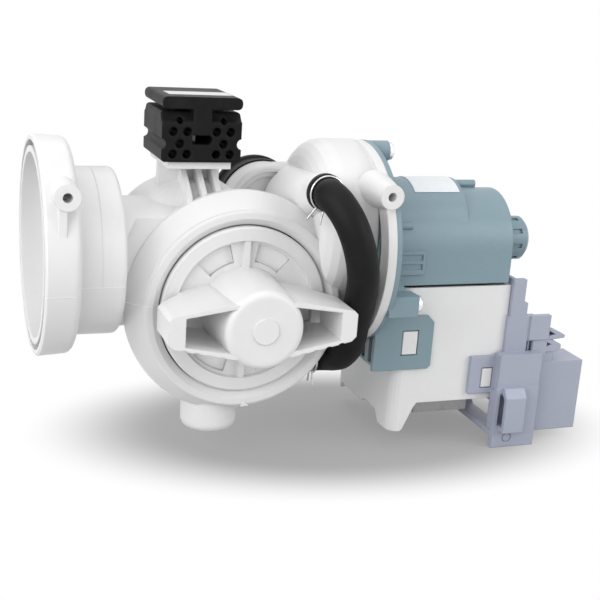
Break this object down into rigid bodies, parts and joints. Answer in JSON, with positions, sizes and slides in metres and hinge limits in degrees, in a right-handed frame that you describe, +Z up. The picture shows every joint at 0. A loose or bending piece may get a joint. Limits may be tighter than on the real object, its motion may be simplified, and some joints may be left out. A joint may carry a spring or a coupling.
{
  "type": "washer drain pump",
  "caption": "Washing machine drain pump: inlet collar, turn-out filter with bar knob, volute with rear outlet, bypass hose and motor.",
  "frame": {"origin": "centre of the inlet collar's socket at its mouth, on the pump shaft's axis", "axes": "+X along the shaft towards the motor, -Y towards the filter knob, +Z up towards the rubber mount"},
  "size_m": [0.255, 0.0998, 0.1571],
  "materials": {
    "white_plastic": "smooth satin moulding",
    "black_rubber": "matt",
    "spring_steel": "drawn wire",
    "grey_plastic": "glass filled",
    "steel": "ground",
    "ferrite": "ground ferrite",
    "graphite": "porous carbon",
    "teal_plastic": "satin moulding",
    "zinc_steel": "zinc plated",
    "core_steel": "stacked sheet",
    "copper": "enamelled wire",
    "black_plastic": "matt",
    "tinned_brass": "tinned",
    "lilac_plastic": "satin moulding",
    "label_film": "plain film"
  },
  "bodies": {
    "housing": {"inlet_collar": "white_plastic", "pump_housing": "white_plastic", "outlet_sleeve": "black_rubber", "bypass_hose": "black_rubber", "upper_hose_clamp": "spring_steel", "lower_hose_clamp": "spring_steel", "rubber_mount": "black_rubber", "volute_seal": "black_rubber", "bearing_plate": "grey_plastic", "shaft_seal": "black_rubber", "front_bearing": "graphite", "rear_bearing": "graphite", "rear_bearing_cup": "black_rubber", "motor_housing": "teal_plastic", "motor_screws": "zinc_steel", "stator_cover": "white_plastic", "stator_core": "core_steel", "front_bobbin": "white_plastic", "rear_bobbin": "white_plastic", "front_winding": "copper", "rear_winding": "copper", "thermal_cutout": "black_plastic", "terminal_blades": "tinned_brass", "connector_housing": "lilac_plastic", "rating_label": "label_film"},
    "plug_seal": {"filter_seal": "black_rubber"},
    "filter_plug": {"filter_cap": "white_plastic", "filter_basket": "white_plastic"},
    "rotor": {"rotor_shaft": "steel", "rotor_sleeve": "grey_plastic", "rotor_magnet": "ferrite", "drive_dog": "grey_plastic"},
    "impeller_wheel": {"impeller": "grey_plastic"}
  },
  "joints": [
    {"name": "plug_travel", "type": "slide", "parent": "housing", "child": "plug_seal", "axis": [0, -1, 0], "range_m": [0, 0.006]},
    {"name": "knob_turn", "type": "hinge", "parent": "plug_seal", "child": "filter_plug", "pos_m": [0.0848, 0, -0.0235], "axis": [0, -1, 0], "range_deg": [0, 180]},
    {"name": "rotor_spin", "type": "hinge", "parent": "housing", "child": "rotor", "pos_m": [0, 0, 0], "axis": [1, 0, 0], "continuous": true},
    {"name": "impeller_swing", "type": "hinge", "parent": "rotor", "child": "impeller_wheel", "pos_m": [0, 0, 0], "axis": [1, 0, 0], "range_deg": [-122, 122]}
  ],
  "couplings": [
    {"joint": "plug_travel", "follows": "knob_turn", "m_per_rad": 0.0019099}
  ]
}
